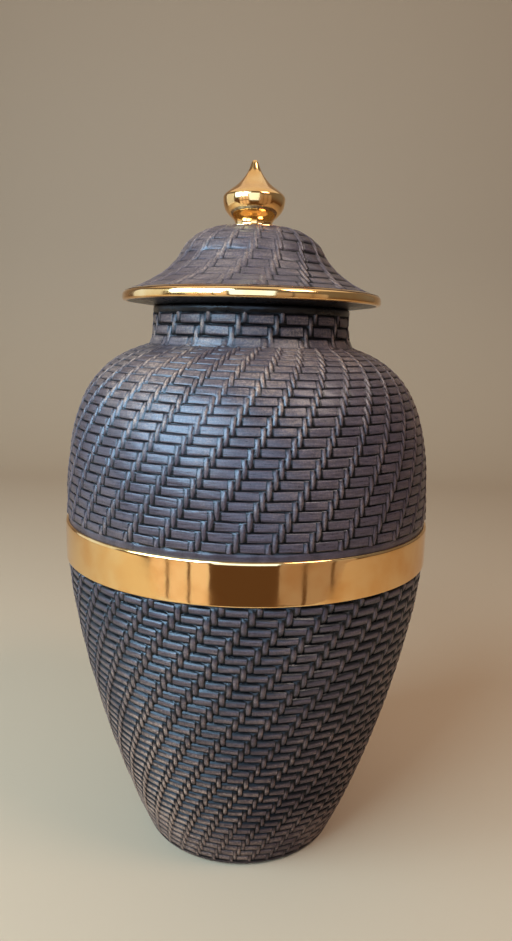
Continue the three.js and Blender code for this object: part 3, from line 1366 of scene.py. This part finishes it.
@dataclass
class Studio:
    """A sheet of matt tan paper that sweeps up behind the vase, soft light and the camera.

    Sizes are in metres and angles in degrees; the camera's eye is in millimetres.
    """

    paper: Colour = (0.42, 0.28, 0.165)
    paper_roughness: float = 0.75
    half_width: float = 1.6
    front: float = -0.36
    back: float = 1.5
    bend: float = 0.5
    bend_points: int = 13
    wall_height: float = 3.0
    below: Colour = (0.11, 0.06, 0.03)
    above: Colour = (0.18, 0.165, 0.15)
    haze: float = 0.15
    aim_height: float = 0.17
    eye: tuple[float, float, float] = (0.0, -398.5, 267.4)
    pitch: float = 9.92
    yaw: float = 0.63
    roll: float = 1.46
    lens: float = 28.82
    near: float = 0.01
    boxes: tuple[SoftBox, ...] = (
        SoftBox("window_box", -48.0, 30.0, 1.2, (1.1, 0.9), 46.5, (0.42, 0.7, 1.0), (2, 2)),
        SoftBox("lamp_box", 50.0, 52.0, 1.3, (0.42, 0.34), 6.8, (1.0, 0.84, 0.76)),
        SoftBox("front_box", 0.0, 14.0, 1.2, (0.8, 0.9), 6.5, (0.46, 0.68, 1.0)),
        SoftBox("side_box", -100.0, 10.0, 1.2, (0.9, 1.0), 3.1, (0.6, 0.8, 1.0)),
        SoftBox("left_box", -38.0, -2.0, 0.9, (0.6, 0.8), 0.95, (1.0, 0.88, 0.74), (3, 2)),
        SoftBox("right_box", 42.0, -2.0, 0.9, (0.8, 0.8), 0.42, (1.0, 0.84, 0.72), (3, 1)),
        SoftBox("ceiling_box", 180.0, 75.0, 2.0, (3.0, 3.0), 18.0, (1.0, 0.95, 0.88)),
    )

    def build(self) -> None:
        """Adds the paper, the lights, the air around and the camera."""
        paper, bench = fresh_material("floor_paper")
        sockets = {"Base Color": (*self.paper, 1.0), "Roughness": self.paper_roughness}
        shader = bench.add("ShaderNodeBsdfPrincipled", {}, sockets)
        bench.add("ShaderNodeOutputMaterial", {}, {"Surface": shader})
        self._sweep(paper)
        aim = Vector((0.0, 0.0, self.aim_height))
        for box in self.boxes:
            box.place(aim)
        self._air()
        self._camera()

    def _sweep(self, paper: Material) -> bpy.types.Object:
        """Lays the paper.

        Args:
            paper: its material.

        Returns:
            Its object.
        """
        turns = np.linspace(0, FULL_TURN / 4, self.bend_points)
        arc = [(self.back - self.bend * (1 - math.sin(t)), self.bend * (1 - math.cos(t))) for t in turns]
        section = [(self.front, 0.0), *arc, (self.back, self.wall_height)]
        places = [(side * self.half_width, y, z) for y, z in section for side in (-1, 1)]
        faces = [(row, row + 1, row + 3, row + 2) for row in range(0, len(places) - 2, 2)]
        mesh = bpy.data.meshes.new("paper_sweep")
        mesh.from_pydata(places, [], faces)
        mesh.polygons.foreach_set("use_smooth", [True] * len(faces))
        mesh.materials.append(paper)
        return fresh_object("paper_sweep", mesh)

    def _air(self) -> None:
        """Lights the surroundings, dim below the table and brighter above."""
        world = bpy.data.worlds.new("studio_air")
        world.use_nodes = True
        bench = Bench(world.node_tree)
        _, _, rise = bench.parts(bench.add("ShaderNodeTexCoord", output="Generated"))
        sky = bench.blend(bench.ramp(rise, -self.haze, self.haze), self.below, self.above)
        glow = bench.add("ShaderNodeBackground", {}, {"Color": sky, "Strength": 1.0})
        bench.add("ShaderNodeOutputWorld", {}, {"Surface": glow})
        bpy.context.scene.world = world
        bpy.context.scene.view_settings.view_transform = "Standard"

    def _camera(self) -> None:
        """Sets the camera where the photograph was taken from."""
        pitch, yaw, roll = (math.radians(angle) for angle in (self.pitch, self.yaw, self.roll))
        flat = Vector((math.sin(yaw), math.cos(yaw), 0.0))
        ahead = flat * math.cos(pitch) - Vector((0.0, 0.0, math.sin(pitch)))
        level = Vector((math.cos(yaw), -math.sin(yaw), 0.0))
        upright = level.cross(ahead)
        right = level * math.cos(roll) + upright * math.sin(roll)
        up = upright * math.cos(roll) - level * math.sin(roll)
        data = bpy.data.cameras.new("camera")
        data.lens = self.lens
        data.clip_start = self.near
        camera = fresh_object("camera", data)
        axes = Matrix((right, up, -ahead)).transposed().to_4x4()
        camera.matrix_world = Matrix.Translation(Vector(self.eye) * MM) @ axes
        bpy.context.scene.camera = camera


def main() -> None:
    """Builds the jar, the lid and the studio."""
    logging.basicConfig(level=logging.INFO, format="%(name)s %(message)s")
    ceramic, gold = WovenCeramic().material(), GoldLustre().material()
    tree = WeaveTree()
    Jar().build(tree, ceramic, gold)
    Lid().build(tree, ceramic, gold)
    Studio().build()


if __name__ == "__main__":
    main()
